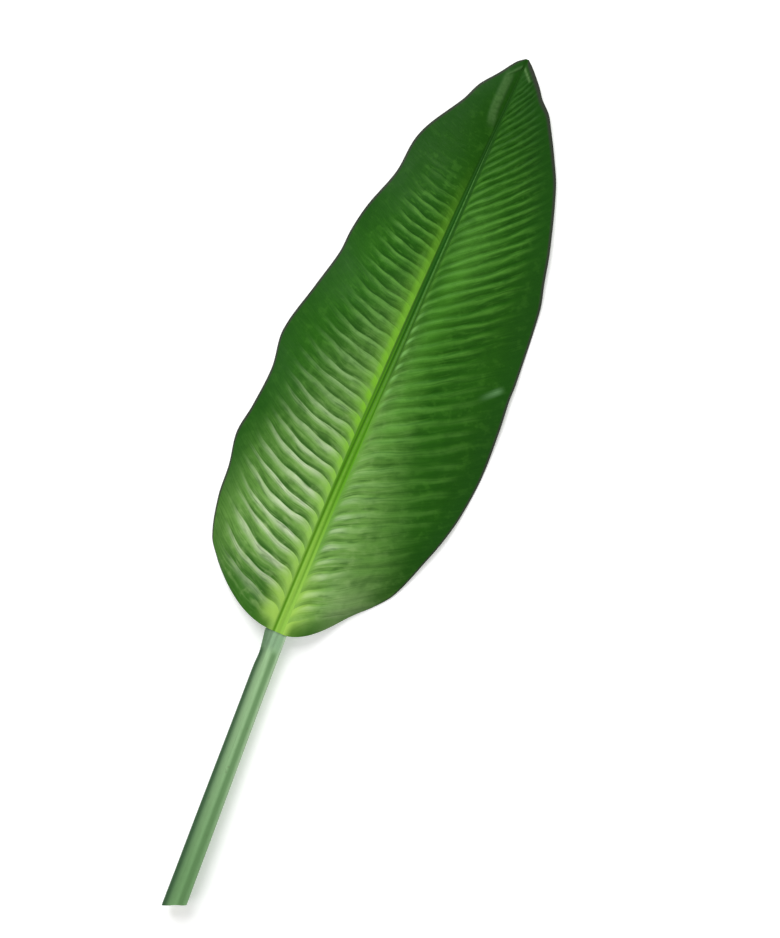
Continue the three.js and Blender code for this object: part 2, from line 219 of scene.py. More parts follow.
# Tints as 0 to 255 display values. Names that end in base and tip are a pair that changes along the blade.
# Among these tints is painted light and shade. Painted highlights sit on the pleats' crests, on the midrib's
# crown, at the crest ends beside it and by the right margin, and there is a painted sheen. Painted shade sits
# in the pleats' creases, in the midrib's grooves, over the outer right half, towards the tip and at the
# blade's foot. Painted light sits on the right base corner.
UPPER_TINTS = dict(
    ground=(40, 94, 16), glow=(116, 164, 76), corner=(48, 102, 24), lit_right_corner=(152, 184, 122),
    shaded_left_tipward=(28, 76, 8), shaded_right_outer=(24, 72, 6), cloud=(28, 76, 10),
    haze_dark=(24, 72, 8), haze_pale=(120, 152, 100),
    left_crest_highlight_base=(208, 222, 186), left_crest_highlight_tip=(104, 160, 66),
    left_crease_shade_base=(38, 90, 18), left_crease_shade_tip=(18, 62, 6), corner_veil=(50, 104, 26),
    right_crest_highlight_base=(176, 200, 154), right_crest_highlight_tip=(94, 152, 56),
    right_crease_shade_base=(60, 108, 30), right_crease_shade_tip=(20, 66, 4),
    soft_crease_shade=(24, 70, 10), soft_crest_highlight=(92, 146, 60),
    grain=(22, 70, 6), pale_outer=(76, 134, 42), pale_inner=(156, 190, 118), sheen=(92, 150, 56),
    mottle=(26, 76, 10), fine_dark=(22, 70, 8), fine_pale=(130, 166, 96),
    left_flank_base=(156, 206, 92), left_flank_tip=(128, 194, 46), right_flank=(96, 150, 50),
    right_middle=(96, 166, 50), crest_end_highlights=(134, 190, 108), basal=(164, 206, 88), foot_shadow=(48, 98, 22),
    groove_base=(140, 188, 74), groove_low=(88, 152, 28), groove_high=(32, 86, 14), groove_tip=(16, 58, 4),
    stripe=(26, 72, 10), groove_shade_base=(82, 138, 16), groove_shade_tip=(20, 70, 8),
    crown_highlight_base=(132, 180, 60), crown_highlight_tip=(84, 134, 66), tip=(20, 62, 4),
    margin_shade=(26, 72, 18), margin_glint=(112, 160, 104), margin_line=(58, 56, 54), fold=(112, 150, 92),
)
LOWER_TINTS = dict(
    dark=(92, 128, 66), pale=(124, 154, 94), crease=(150, 178, 118), fine=(74, 108, 50),
    streak=(84, 122, 60), midrib=(150, 182, 112), margin=(64, 62, 48),
)
RIM_TINTS = dict(green=(52, 64, 34), brown=(84, 72, 50))
# Of these, the dark edge and line are painted shade, and the pale band is painted light on the right flange.
STALK_TINTS = dict(
    cut_end=(122, 168, 110), neck=(172, 212, 158), streak=(94, 140, 84), collar=(134, 170, 132),
    line=(78, 116, 68), band=(182, 208, 172), edge=(36, 72, 40), fibre=(70, 108, 62), fleck=(90, 92, 62),
)
CUT_TINTS = dict(
    dark=(186, 196, 148), pale=(214, 218, 178), cell=(120, 132, 76), skin=(108, 138, 84),
    dried=(150, 128, 84),
)
FLOOR_DARK = (0.95, 0.95, 0.95, 1)
FLOOR_PALE = (0.97, 0.97, 0.97, 1)

# The painted highlight by the right margin, a short pale streak where the margin waves: its place as
# (distance from the midrib, distance along it) in mm, and its direction.
GLINT_AT = (105.1, 296.1)
GLINT_RUN = (0.695, 0.717)


def smooth(x, low, high):
    f = np.clip((x - low) / (high - low), 0, 1)
    return f * f * (3 - 2 * f)


def mix(a, b, f):
    return a + (b - a) * f


def bell(x):
    return np.exp(-x * x)


def curve_between(f, span, start, start_slope, end, end_slope):
    """A smooth curve over a span, from one height and slope to another, at the share f of the span."""
    r = 1 - f
    return ((1 + 2 * f) * r * r * start + f * r * r * span * start_slope
            + f * f * (3 - 2 * f) * end - f * f * r * span * end_slope)


def value_along(pairs, place):
    """A smooth curve through (place, value) pairs, with each slope taken from the two neighbours."""
    p = np.array(pairs, dtype=float)
    x, v = p[:, 0], p[:, 1]
    lo = np.maximum(np.arange(len(x)) - 1, 0)
    hi = np.minimum(np.arange(len(x)) + 1, len(x) - 1)
    slope = (v[hi] - v[lo]) / (x[hi] - x[lo])
    k = np.clip(np.searchsorted(x, place) - 1, 0, len(x) - 2)
    span = x[k + 1] - x[k]
    f = np.clip((place - x[k]) / span, 0, 1)
    return curve_between(f, span, v[k], slope[k], v[k + 1], slope[k + 1])


def wave_at(wave, u, index):
    return wave[0] * u + wave[1] * index


def foot_of(pleat):
    """Where a vein leaves the midrib, with pleats that get narrower towards the tip."""
    t = pleat / PLEATS
    wander = PLEAT_WANDER * PLEAT_TAPER ** t * (1 - t) * np.sin(PLEAT_WANDER_STEP * pleat)
    return LENGTH * (1 - PLEAT_TAPER ** t) / (1 - PLEAT_TAPER) + wander


def midrib_middle(y):
    return MIDRIB_BOW * np.sin(np.pi * np.clip(y / LENGTH, 0, 1))


def lift_at(y):
    """Height of the keel's underside over the surface: nothing in the middle, where the leaf rests."""
    stalk = STALK_LIFT * (np.maximum(REST_FROM - y, 0) / (STALK_LENGTH + REST_FROM)) ** 2
    f = np.clip((y - REST_TO) / (LENGTH - REST_TO), 0, 1)
    return stalk + BLADE_LIFT * np.sin(np.pi * f) ** 2 + TIP_LIFT * f * f


def keel_depth_at(y):
    f = np.clip(y / LENGTH, 0, 1)
    return mix(KEEL_TIP_DEPTH, NECK_DEPTH, (1 - f) ** KEEL_TAPER)


def channel_half_at(y):
    f = np.clip(y / LENGTH, 0, 1)
    return mix(CHANNEL_HALF_BASE, CHANNEL_HALF_TIP, f ** CHANNEL_TAPER)


def midrib_height_at(y):
    return lift_at(y) + keel_depth_at(y) + SEAT_GAP + THICK_MIDRIB / 2


def height_near_midrib(x, y):
    """The channel with the low rib in its middle, and the rise of the blade beside it."""
    half = channel_half_at(y)
    scale = half / CHANNEL_HALF_BASE
    f = np.abs(x) / half
    rib = RIB_HEIGHT * scale * (1 - smooth(f, 0.0, RIB_SHARE))
    wall = CHANNEL_DEPTH * scale * smooth(f, RIB_SHARE, WALL_SHARE)
    return midrib_height_at(y) + rib + wall + INNER_SLOPE * np.maximum(0, np.abs(x) - half)


def vein_end(half, foot):
    """Where a vein meets the margin, as (distance from the midrib, distance along it)."""
    t = foot / LENGTH
    surge = half["surge"] * t * np.exp(-t / SURGE_LENGTH)
    y = foot + LENGTH * (1 - t) * (half["sweep"] + half["gain"] * t ** half["power"] + surge)
    return value_along(half["margin"], y) - half["side"] * midrib_middle(foot), y


def vein_point(half, foot, u):
    """The point at the share u of a vein, as (distance from the midrib, distance along it)."""
    end_x, end_y = vein_end(half, foot)
    start_x = channel_half_at(foot)
    hook, curl = half["hook"], half["curl"]
    hooked = hook * (1 - np.exp(-u / HOOK_LENGTH))
    curled = (1 - hook) * ((1 - curl) * u + curl * u * u)
    whole = hook * (1 - math.exp(-1 / HOOK_LENGTH)) + 1 - hook
    vein = (hooked + curled) / whole
    near_base = (1 - smooth(foot, 0, half["base_blend"])) ** 2
    forward = mix(vein, u ** half["base_curve"], near_base)
    return mix(start_x, end_x, u), foot + (end_y - foot) * forward


def pleat_profile(phase):
    """0 in a crease and 1 on a crest, with sharp creases and crests that lean towards the tip."""
    p = phase % 1.0
    leaned = p - PLEAT_LEAN * np.sin(np.pi * p) ** 2
    return np.abs(np.sin(np.pi * leaned)) ** PLEAT_SHARPNESS


def pleat_phase(half, u, index):
    """Place within the pleats, counted from the base, with veins that waver a little on their way out."""
    slow = np.sin(wave_at(VEIN_SLOW_WAVE, u, index) + half["side"])
    quick = VEIN_QUICK_SHARE * np.sin(wave_at(VEIN_QUICK_WAVE, u, index))
    return index + half["phase"] + VEIN_WAVER * (slow + quick) * smooth(u, 0.0, VEIN_WAVER_FULL_AT)


def pleat_envelope(half, foot, u):
    """1 where the pleats are full, and 0 where the blade is smooth."""
    t = foot / LENGTH
    further = smooth(t, *FADE_CHANGE)
    fade = [mix(half["fade_base"][k], half["fade_tip"][k], further) for k in (0, 1)]
    across = (1 - np.exp(-u / PLEAT_START)) * (1 - smooth(u, fade[0], fade[1]))
    return across * smooth(foot, 0, FIRST_FULL_PLEAT_AT) * (1 - smooth(t, *half["flatten"]))


def pleat_height(half, foot, u, index):
    uneven = 1 - PLEAT_UNEVENNESS * (1 - np.sin(PLEAT_UNEVEN_STEP * index + half["side"]))
    uneven = uneven * (1 + CREST_WAVER * np.sin(wave_at(CREST_WAVE, u, index)))
    size = PLEAT_HEIGHT * PLEAT_TAPER ** (foot / LENGTH) * uneven
    return (pleat_profile(pleat_phase(half, u, index)) - 0.5) * size * pleat_envelope(half, foot, u)


def crease_share(x, y, line):
    """1 on a short straight crease, falling off to both sides of it."""
    (x0, y0), (x1, y1) = line
    run = np.array([x1 - x0, y1 - y0])
    f = np.clip(((x - x0) * run[0] + (y - y0) * run[1]) / (run @ run), 0, 1)
    return bell(np.hypot(x - x0 - f * run[0], y - y0 - f * run[1]) / TIP_CREASE_WIDTH)


def fold_share(half, x, y):
    """1 on the fold left of the midrib near the tip and on the short crease right of the tip.

    The short crease left of the tip has a little less.
    """
    if half is RIGHT:
        return crease_share(x, y, TIP_CREASE_RIGHT)
    rise = smooth(y, FOLD_FROM, FOLD_FROM + FOLD_RUN_OUT)
    fall = 1 - smooth(y, FOLD_TO - FOLD_RUN_OUT, FOLD_TO)
    bent = np.maximum(0, FOLD_STRAIGHT_FROM - y) / (FOLD_STRAIGHT_FROM - FOLD_FROM)
    out = FOLD_OUT - FOLD_BEND * bent * bent
    band = rise * fall * bell(((x - out) / FOLD_HALF_WIDTH) ** 2)
    return np.maximum(band, TIP_CREASE_LEFT_SHARE * crease_share(x, y, TIP_CREASE_LEFT))


def blade_height(half, foot, u, index):
    """Height of the blade's middle: its arch from midrib to waved margin, its pleats and its creases."""
    x, y = vein_point(half, foot, u)
    end_x, end_y = vein_end(half, foot)
    start_x = channel_half_at(foot)
    span = end_x - start_x
    inner = height_near_midrib(start_x, y)
    tipward = np.clip(end_y / LENGTH, 0, 1) ** TIP_BLEND
    swell = (1 - np.cos(2 * np.pi * (end_y - half["wave_start"]) / half["wave_length"])) / 2
    outer = mix(MARGIN_CLEARANCE + half["wave"] * swell, inner, tipward)
    f = np.clip((x - start_x) / span, 0, 1)
    arch = curve_between(f, span, inner, INNER_SLOPE, outer, OUTER_SLOPE)
    return arch + pleat_height(half, foot, u, index) + fold_share(half, x, y) * half["fold"]


def make_object(name, verts_mm, faces, attributes):
    mesh = bpy.data.meshes.new(name)
    mesh.from_pydata((np.asarray(verts_mm) * MM).tolist(), [], faces)
    for key, values in attributes.items():
        layer = mesh.attributes.new(key, "FLOAT", "POINT")
        layer.data.foreach_set("value", np.asarray(values, dtype=np.float32))
    mesh.polygons.foreach_set("use_smooth", np.ones(len(mesh.polygons), dtype=bool))
    mesh.update()
    obj = bpy.data.objects.new(name, mesh)
    bpy.context.scene.collection.objects.link(obj)
    return obj


def set_uv(mesh, uv_of_loop):
    layer = mesh.uv_layers.new(name="OFBake")
    layer.data.foreach_set("uv", np.asarray(uv_of_loop, dtype=np.float32).ravel())


def blade_grid():
    """Values on the rows of veins and the columns from the left margin to the right one."""
    index = (np.arange(PLEATS * ROWS_PER_PLEAT + 1) / ROWS_PER_PLEAT)[:, None]
    foot = foot_of(index)
    u = ((np.arange(1, HALF_COLUMNS + 1) / HALF_COLUMNS) ** COLUMN_CROWDING)[None, :]
    halves = []
    for half in (LEFT, RIGHT):
        x, y = vein_point(half, foot, u)
        halves.append(dict(
            reach=half["side"] * x,
            y=y,
            z=blade_height(half, foot, u, index),
            across=half["side"] * u + 0 * foot,
            vein=pleat_phase(half, u, index),
            envelope=pleat_envelope(half, foot, u),
            fold=fold_share(half, x, y) * half["fold_tint"],
            inset=(1 - u) * vein_end(half, foot)[0],
        ))
    reach = np.linspace(-1, 1, MIDRIB_COLUMNS + 1)[None, :] * channel_half_at(foot)
    none = 0 * reach
    midrib = dict(reach=reach, y=foot + none, z=height_near_midrib(reach, foot), across=none,
                  vein=index + none, envelope=none, fold=none, inset=none + LENGTH)
    left, right = halves
    grid = {key: np.concatenate([left[key][:, ::-1], midrib[key], right[key]], axis=1) for key in midrib}
    grid["foot"] = foot + 0 * grid["y"]
    return grid


def blade_uv(x, y, faces, walls):
    """Places of the faces' corners in the bake, with the wall's faces last among the faces."""
    flat = np.stack([FACE_AT[0] + x / FACE_SPAN[0] * FACE_SIZE[0],
                     FACE_AT[1] + y / FACE_SPAN[1] * FACE_SIZE[1]], axis=-1).reshape(-1, 2)
    uv = np.concatenate([flat, flat + np.array([UNDERSIDE_SHIFT, 0.0])])[faces]
    low = np.arange(walls) / walls
    high = low + 1 / walls
    near = WALL_AT + WALL_STRIP_PITCH * (np.arange(walls) % WALL_STRIPS)
    far = near + WALL_STRIP_WIDTH
    corners = [(near, low), (far, low), (far, high), (near, high)]
    uv[-walls:] = np.stack([np.stack(corner, axis=-1) for corner in corners], axis=1)
    return uv.reshape(-1, 2)


def build_blade():
    grid = blade_grid()
    y, z, reach, foot = (grid[key] for key in ("y", "z", "reach", "foot"))
    x = reach + midrib_middle(foot)
    thick = mix(THICK_MIDRIB, THICK_MARGIN, np.abs(grid["across"]))
    top = np.stack([x, y, z + thick / 2], axis=-1).reshape(-1, 3)
    bottom = np.stack([x, y, z - thick / 2], axis=-1).reshape(-1, 3)
    low = x.size
    ids = np.arange(low).reshape(x.shape)
    upper = np.stack([ids[:-1, :-1], ids[:-1, 1:], ids[1:, 1:], ids[1:, :-1]], axis=-1).reshape(-1, 4)
    under = upper[:, ::-1] + low
    rim = np.concatenate([ids[0, :-1], ids[:-1, -1], ids[-1, :0:-1], ids[:0:-1, 0]])
    ahead = np.roll(rim, -1)
    wall = np.stack([rim, rim + low, ahead + low, ahead], axis=-1)
    faces = np.concatenate([upper, under, wall])
    values = {key: grid[key] for key in ("across", "vein", "envelope", "fold", "inset", "reach", "foot")}
    values["along"] = y / LENGTH
    values["rib"] = reach / channel_half_at(foot)
    values["shoulder"] = np.abs(reach) - channel_half_at(foot)
    attributes = {key: np.tile(value.ravel(), 2) for key, value in values.items()}
    blade = make_object("blade", np.concatenate([top, bottom]), faces.tolist(), attributes)
    mesh = blade.data
    kinds = np.repeat([0, 1, 2], [len(upper), len(under), len(wall)])
    mesh.polygons.foreach_set("material_index", kinds.astype(np.int32))
    mesh.set_sharp_from_angle(angle=BLADE_SHARP_ANGLE)
    set_uv(mesh, blade_uv(x, y, faces, len(wall)))
    return blade


def stalk_half_width(y, side):
    """Half-width of keel and stalk, with the collar and waist on the left of the neck."""
    keel = mix(KEEL_TIP_HALF_WIDTH, NECK_HALF_WIDTH, np.clip(1 - y / LENGTH, 0, 1) ** KEEL_TAPER)
    open_stalk = mix(NECK_HALF_WIDTH, STALK_HALF_WIDTH, smooth(-y, NECK_BLEND, STALK_FULL_WIDTH_AT))
    collar = COLLAR_FLARE * bell(y / COLLAR_LENGTH) - WAIST_DEPTH * bell((y - WAIST_AT) / WAIST_LENGTH)
    return np.where(y >= 0, keel, open_stalk + np.where(side < 0, collar, 0))


def stalk_middle(y):
    return STALK_SWAY * np.maximum(-y, 0) / STALK_LENGTH + midrib_middle(y)


def stalk_top(y, share, half_width):
    """Height of the upper side: close under the blade along the keel, and channelled along the open stalk."""
    covered = np.maximum(y, 0)
    x = share * half_width
    channel = channel_half_at(covered)
    shoulder = KEEL_SHOULDER_SLOPE * np.maximum(0, np.abs(x) - channel)
    seat = height_near_midrib(np.clip(x, -channel, channel), covered) + shoulder
    under_blade = seat - THICK_MIDRIB / 2 + KEEL_BITE
    depth = mix(NECK_DEPTH, STALK_DEPTH, smooth(-y, 0, STALK_LENGTH))
    hollow = STALK_CHANNEL_DEPTH * bell((share - STALK_CHANNEL_OFFSET) / STALK_CHANNEL_SPREAD)
    rounding = FLANGE_ROUND * (1 - np.sqrt(np.maximum(0, 1 - np.abs(share) ** FLANGE_SQUARENESS)))
    open_top = lift_at(y) + depth + STALK_FLANGE_RISE - hollow - rounding
    return np.where(y >= 0, under_blade, mix(under_blade - SEAT_GAP, open_top, smooth(-y, 0, NECK_BLEND)))


def stalk_rings(y):
    """Points of each ring, from the left edge over the upper side, then back round the underside."""
    y = y[:, None]
    v = np.linspace(-1, 1, RING_TOP)[None, :]
    share_top = np.sin(v * np.pi / 2) + 0 * y
    top_z = stalk_top(y, share_top, stalk_half_width(y, share_top))
    angle = np.linspace(0, 1, RING_UNDER // 2 + 1)[None, 1:] * np.pi / 2
    reach = mix(FLAT_SHARE, 1.0, np.cos(angle))
    floor = lift_at(y)
    shares, heights = [share_top], [top_z]
    for side in (1, -1):
        edge = np.full_like(y, side)
        side_z = mix(floor, stalk_top(y, edge, stalk_half_width(y, edge)), SIDE_LEVEL)
        share = side * reach + 0 * y
        z = mix(side_z, floor, np.sin(angle))
        shares.append(share[:, ::side])
        heights.append(z[:, ::side])
    share = np.concatenate(shares, axis=1)
    z = np.concatenate(heights, axis=1)
    return share, share * stalk_half_width(y, share), z


def stalk_uv(y, around, verts, cut_faces, end_faces, centre):
    """Places of the faces' corners in the bake: the skin, then the cut, then the keel's end."""
    run = (y - y[0]) / (y[-1] - y[0]) * SKIN_BANDS
    uv = []
    for start, end in zip(run[:-1], run[1:]):
        band = min(int((start + end) / 2), SKIN_BANDS - 1)
        u0, u1 = (SKIN_AT[0] + (place - band) * SKIN_SIZE[0] for place in (start, end))
        v = [(band + SKIN_AT[1] + SKIN_SIZE[1] * k / around) / SKIN_BANDS for k in range(around + 1)]
        for v0, v1 in zip(v[:-1], v[1:]):
            uv += [(u0, v0), (u0, v1), (u1, v1), (u1, v0)]
    wide = 2 * STALK_HALF_WIDTH
    for k in chain.from_iterable(cut_faces):
        off = (verts[k] - centre) / wide * CUT_SIZE
        uv.append((CUT_AT[0] + off[0], CUT_AT[1] + off[2]))
    for k in chain.from_iterable(end_faces):
        off = verts[k] / KEEL_TIP_SPAN
        uv.append((KEEL_TIP_AT[0] + off[0], KEEL_TIP_AT[1] + off[2]))
    return uv


def build_stalk():
    back = -STALK_LENGTH * (np.arange(STALK_STATIONS, 0, -1) / STALK_STATIONS) ** STALK_CROWDING
    ahead = KEEL_END * (np.arange(0, KEEL_STATIONS + 1) / KEEL_STATIONS) ** KEEL_CROWDING
    y = np.concatenate([back, ahead])
    share, x, z = stalk_rings(y)
    slant = CUT_SLANT * smooth(-y, STALK_LENGTH - CUT_SLANT_LENGTH, STALK_LENGTH)[:, None]
    rings = np.stack([stalk_middle(y)[:, None] + x, y[:, None] + slant * x, z], axis=-1)
    count, around = rings.shape[:2]
    skin = count * around

    cut = rings[0]
    centre = cut.mean(axis=0)
    inward = np.arange(1, CUT_RINGS + 1) / (CUT_RINGS + 1)
    inner = [mix(cut, centre, f) for f in inward]
    verts = np.concatenate([rings.reshape(-1, 3), *inner, [centre], [rings[-1].mean(axis=0)]])
    ids = np.arange(skin).reshape(count, around)
    nxt = np.roll(ids, -1, axis=1)
    side = np.stack([ids[:-1], nxt[:-1], nxt[1:], ids[1:]], axis=-1).reshape(-1, 4).tolist()
    loops = [ids[0]] + [skin + k * around + np.arange(around) for k in range(CUT_RINGS)]
    cut_faces = []
    for a, b in zip(loops[:-1], loops[1:]):
        cut_faces += np.stack([a, b, np.roll(b, -1), np.roll(a, -1)], axis=-1).tolist()
    middle = skin + CUT_RINGS * around
    cut_faces += [[int(a), middle, int(b)] for a, b in zip(loops[-1], np.roll(loops[-1], -1))]
    end_faces = [[middle + 1, int(a), int(b)] for a, b in zip(ids[-1], nxt[-1])]

    extra = len(verts) - skin
    upper = np.zeros((count, around))
    upper[:, :RING_TOP] = 1
    length = np.broadcast_to(y[:, None], x.shape).ravel()
    attributes = {
        "along": np.concatenate([length, np.full(extra, y[0])]) / LENGTH,
        "across": np.concatenate([share.ravel(), np.zeros(extra)]),
        "upper": np.concatenate([upper.ravel(), np.zeros(extra)]),
        "radial": np.concatenate([np.ones(skin), np.repeat(1 - inward, around), [0.0, 0.0]]),
    }
    stalk = make_object("stalk", verts, side + cut_faces + end_faces, attributes)
    mesh = stalk.data
    kinds = np.repeat([0, 1, 0], [len(side), len(cut_faces), len(end_faces)])
    mesh.polygons.foreach_set("material_index", kinds.astype(np.int32))
    mesh.set_sharp_from_angle(angle=STALK_SHARP_ANGLE)
    set_uv(mesh, stalk_uv(y, around, verts, cut_faces, end_faces, centre))
    return stalk


def colour(r, g, b):
    """Linear colour from 0 to 255 display values."""
    c = np.array([r, g, b]) / 255
    lin = np.where(c <= 0.04045, c / 12.92, ((c + 0.055) / 1.055) ** 2.4)
    return (*lin.tolist(), 1.0)


class Nodes:
    """Short-hand for building a node material, with its base colour laid down in layers."""

    def __init__(self, name, tints):
        self.material = bpy.data.materials.new(name)
        self.material.use_nodes = True
        self.tree = self.material.node_tree
        self.shader = self.tree.nodes["Principled BSDF"]
        self.tints = {key: colour(*tint) for key, tint in tints.items()}
        self.place = self.tree.nodes.new("ShaderNodeTexCoord").outputs["Object"]
        self.base = None

    def put(self, socket, value):
        if isinstance(value, bpy.types.NodeSocket):
            self.tree.links.new(value, socket)
        else:
            socket.default_value = value

    def attribute(self, name):
        node = self.tree.nodes.new("ShaderNodeAttribute")
        node.attribute_name = name
        return node.outputs["Fac"]

    def math(self, operation, *values):
        node = self.tree.nodes.new("ShaderNodeMath")
        node.operation = operation
        for k, value in enumerate(values):
            self.put(node.inputs[k], value)
        return node.outputs[0]

    def product(self, first, *others):
        for other in others:
            first = self.math("MULTIPLY", first, other)
        return first

    def total(self, a, b):
        return self.math("ADD", a, b)

    def larger(self, a, b):
        return self.math("MAXIMUM", a, b)

    def gap(self, value, middle):
        return self.math("ABSOLUTE", self.math("SUBTRACT", value, middle))

    def step(self, value, low, high, to_low=0.0, to_high=1.0):
        """A smooth change from to_low, where the value is low, to to_high, where it is high."""
        node = self.tree.nodes.new("ShaderNodeMapRange")
        node.interpolation_type = "SMOOTHSTEP"
        for name, v in (("Value", value), ("From Min", low), ("From Max", high),
                        ("To Min", to_low), ("To Max", to_high)):
            self.put(node.inputs[name], v)
        return node.outputs["Result"]

    def blend(self, a, b, factor):
        """A mix of two colours, each the name of a tint, a colour or a socket."""
        node = self.tree.nodes.new("ShaderNodeMix")
        node.data_type = "RGBA"
        self.put(node.inputs["Factor"], factor)
        for k, value in ((6, a), (7, b)):
            self.put(node.inputs[k], self.tints[value] if isinstance(value, str) else value)
        return node.outputs[2]

    def layer(self, tint, *shares):
        """Lay a tint over the base colour by the product of the shares."""
        self.base = self.blend(self.base, tint, self.product(*shares))

    def vector(self, x, y, z):
        node = self.tree.nodes.new("ShaderNodeCombineXYZ")
        for k, v in enumerate((x, y, z)):
            self.put(node.inputs[k], v)
        return node.outputs[0]

    def noise(self, vector, scale, detail, roughness=0.55):
        node = self.tree.nodes.new("ShaderNodeTexNoise")
        self.put(node.inputs["Vector"], vector)
        node.inputs["Scale"].default_value = scale
        node.inputs["Detail"].default_value = detail
        node.inputs["Roughness"].default_value = roughness
        return node.outputs["Fac"]

    def streaks(self, first, second, third, detail, roughness=0.55):
        """Noise stretched over two attributes, each given with its scale."""
        vector = self.vector(self.product(*first), self.product(*second), third)
        return self.noise(vector, 1.0, detail, roughness)

    def cells(self, scale):
        node = self.tree.nodes.new("ShaderNodeTexVoronoi")
        self.put(node.inputs["Vector"], self.place)
        node.inputs["Scale"].default_value = scale
        return node.outputs["Distance"]

    def bump(self, height, distance, strength, below=None):
        node = self.tree.nodes.new("ShaderNodeBump")
        node.inputs["Strength"].default_value = strength
        node.inputs["Distance"].default_value = distance
        self.put(node.inputs["Height"], height)
        if below is not None:
            self.put(node.inputs["Normal"], below)
        return node.outputs["Normal"]

    def finish(self, roughness, normal=None, **constants):
        self.put(self.shader.inputs["Base Color"], self.base)
        self.put(self.shader.inputs["Roughness"], roughness)
        if normal is not None:
            self.put(self.shader.inputs["Normal"], normal)
        for name, value in constants.items():
            self.shader.inputs[name.replace("_", " ")].default_value = value
        return self.material


class LeafNodes(Nodes):
    """A material of either face of the blade, with the values that its layers share.

    across runs from -1 at the left margin to 1 at the right one, and phase from 0 in one crease to 1 in the
    next. streak and fine are the parallel veins, coarse and fine.
    """

    def __init__(self, name, tints):
        super().__init__(name, tints)
        self.across = self.attribute("across")
        self.vein = self.attribute("vein")
        self.phase = self.math("FRACT", self.vein)
        self.streak = self.streaks((self.across, 7.0), (self.vein, 3.0), 0.0, 3.0)
        self.fine = self.streaks((self.across, 2.0), (self.vein, 11.0), 0.0, 2.0)


class UpperFaceNodes(LeafNodes):
    """The material of the upper face.

    along runs from 0 at the base to 1 at the tip. envelope is 1 where the pleats are full. reach is the
    distance from the midrib in mm, less than 0 on the left, and shoulder that beyond the channel's edge.
    """

    def __init__(self, name, tints):
        super().__init__(name, tints)
        self.along = self.attribute("along")
        self.envelope = self.attribute("envelope")
        self.reach = self.attribute("reach")
        self.shoulder = self.attribute("shoulder")
        self.distance = self.math("ABSOLUTE", self.reach)
        self.left = self.step(self.across, 0.002, -0.002)
        self.right = self.math("SUBTRACT", 1.0, self.left)

    def from_base_to_tip(self, base_tint, tip_tint, low, high):
        return self.blend(base_tint, tip_tint, self.step(self.along, low, high))


def lay_ground(n):
    """The fall of tone from the pale base to the dark margins and tip. It is partly the leaf's own colour and
    partly painted: a painted sheen over the lower blade, and painted shade over the outer right half and the
    left half towards the tip.

    Returns the share of the pale tone, with its painted sheen, and that of the left base corner.
    """
    along, across, distance = n.along, n.across, n.distance
    # The pale tone of the lower blade: a paler green near the midrib, and a painted sheen where the arched
    # halves catch the light.
    glow_left = n.step(n.total(distance, n.product(along, 230.0)), 184.0, 72.0)
    glow_right = n.step(n.total(distance, n.product(along, 205.0)), 142.0, 46.0)
    glow = n.total(n.product(glow_left, n.left), n.product(glow_right, n.right))
    n.base = n.blend("ground", "glow", glow)
    corner = n.product(n.step(along, 0.14, 0.02), n.step(distance, 8.0, 30.0), n.left)
    n.layer("corner", corner, 0.9)
    # Painted light on the right base corner, which slopes away from the lamps.
    lit_right_corner = n.product(n.step(along, 0.17, 0.05), n.step(distance, 24.0, 46.0),
                            n.step(distance, 82.0, 60.0), n.right)
    n.layer("lit_right_corner", lit_right_corner, 0.7)
    # Painted shade over the left half towards the tip.
    n.layer("shaded_left_tipward", n.step(along, 0.6, 0.82, 0.0, 0.8), n.left)
    # Painted shade over the outer right half, which turns away from the light, on top of the margin's own
    # darker green.
    n.layer("shaded_right_outer", n.step(across, 0.45, 0.9, 0.0, 0.5))
    n.layer("cloud", n.step(n.noise(n.place, 12.0, 4.0), 0.48, 0.8, 0.0, 0.4))
    haze = n.streaks((across, 4.0), (n.vein, 0.5), 0.0, 4.0)
    n.layer("haze_dark", n.step(haze, 0.5, 0.75, 0.0, 0.45))
    n.layer("haze_pale", n.step(haze, 0.46, 0.25, 0.0, 0.3), glow)
    return glow, corner


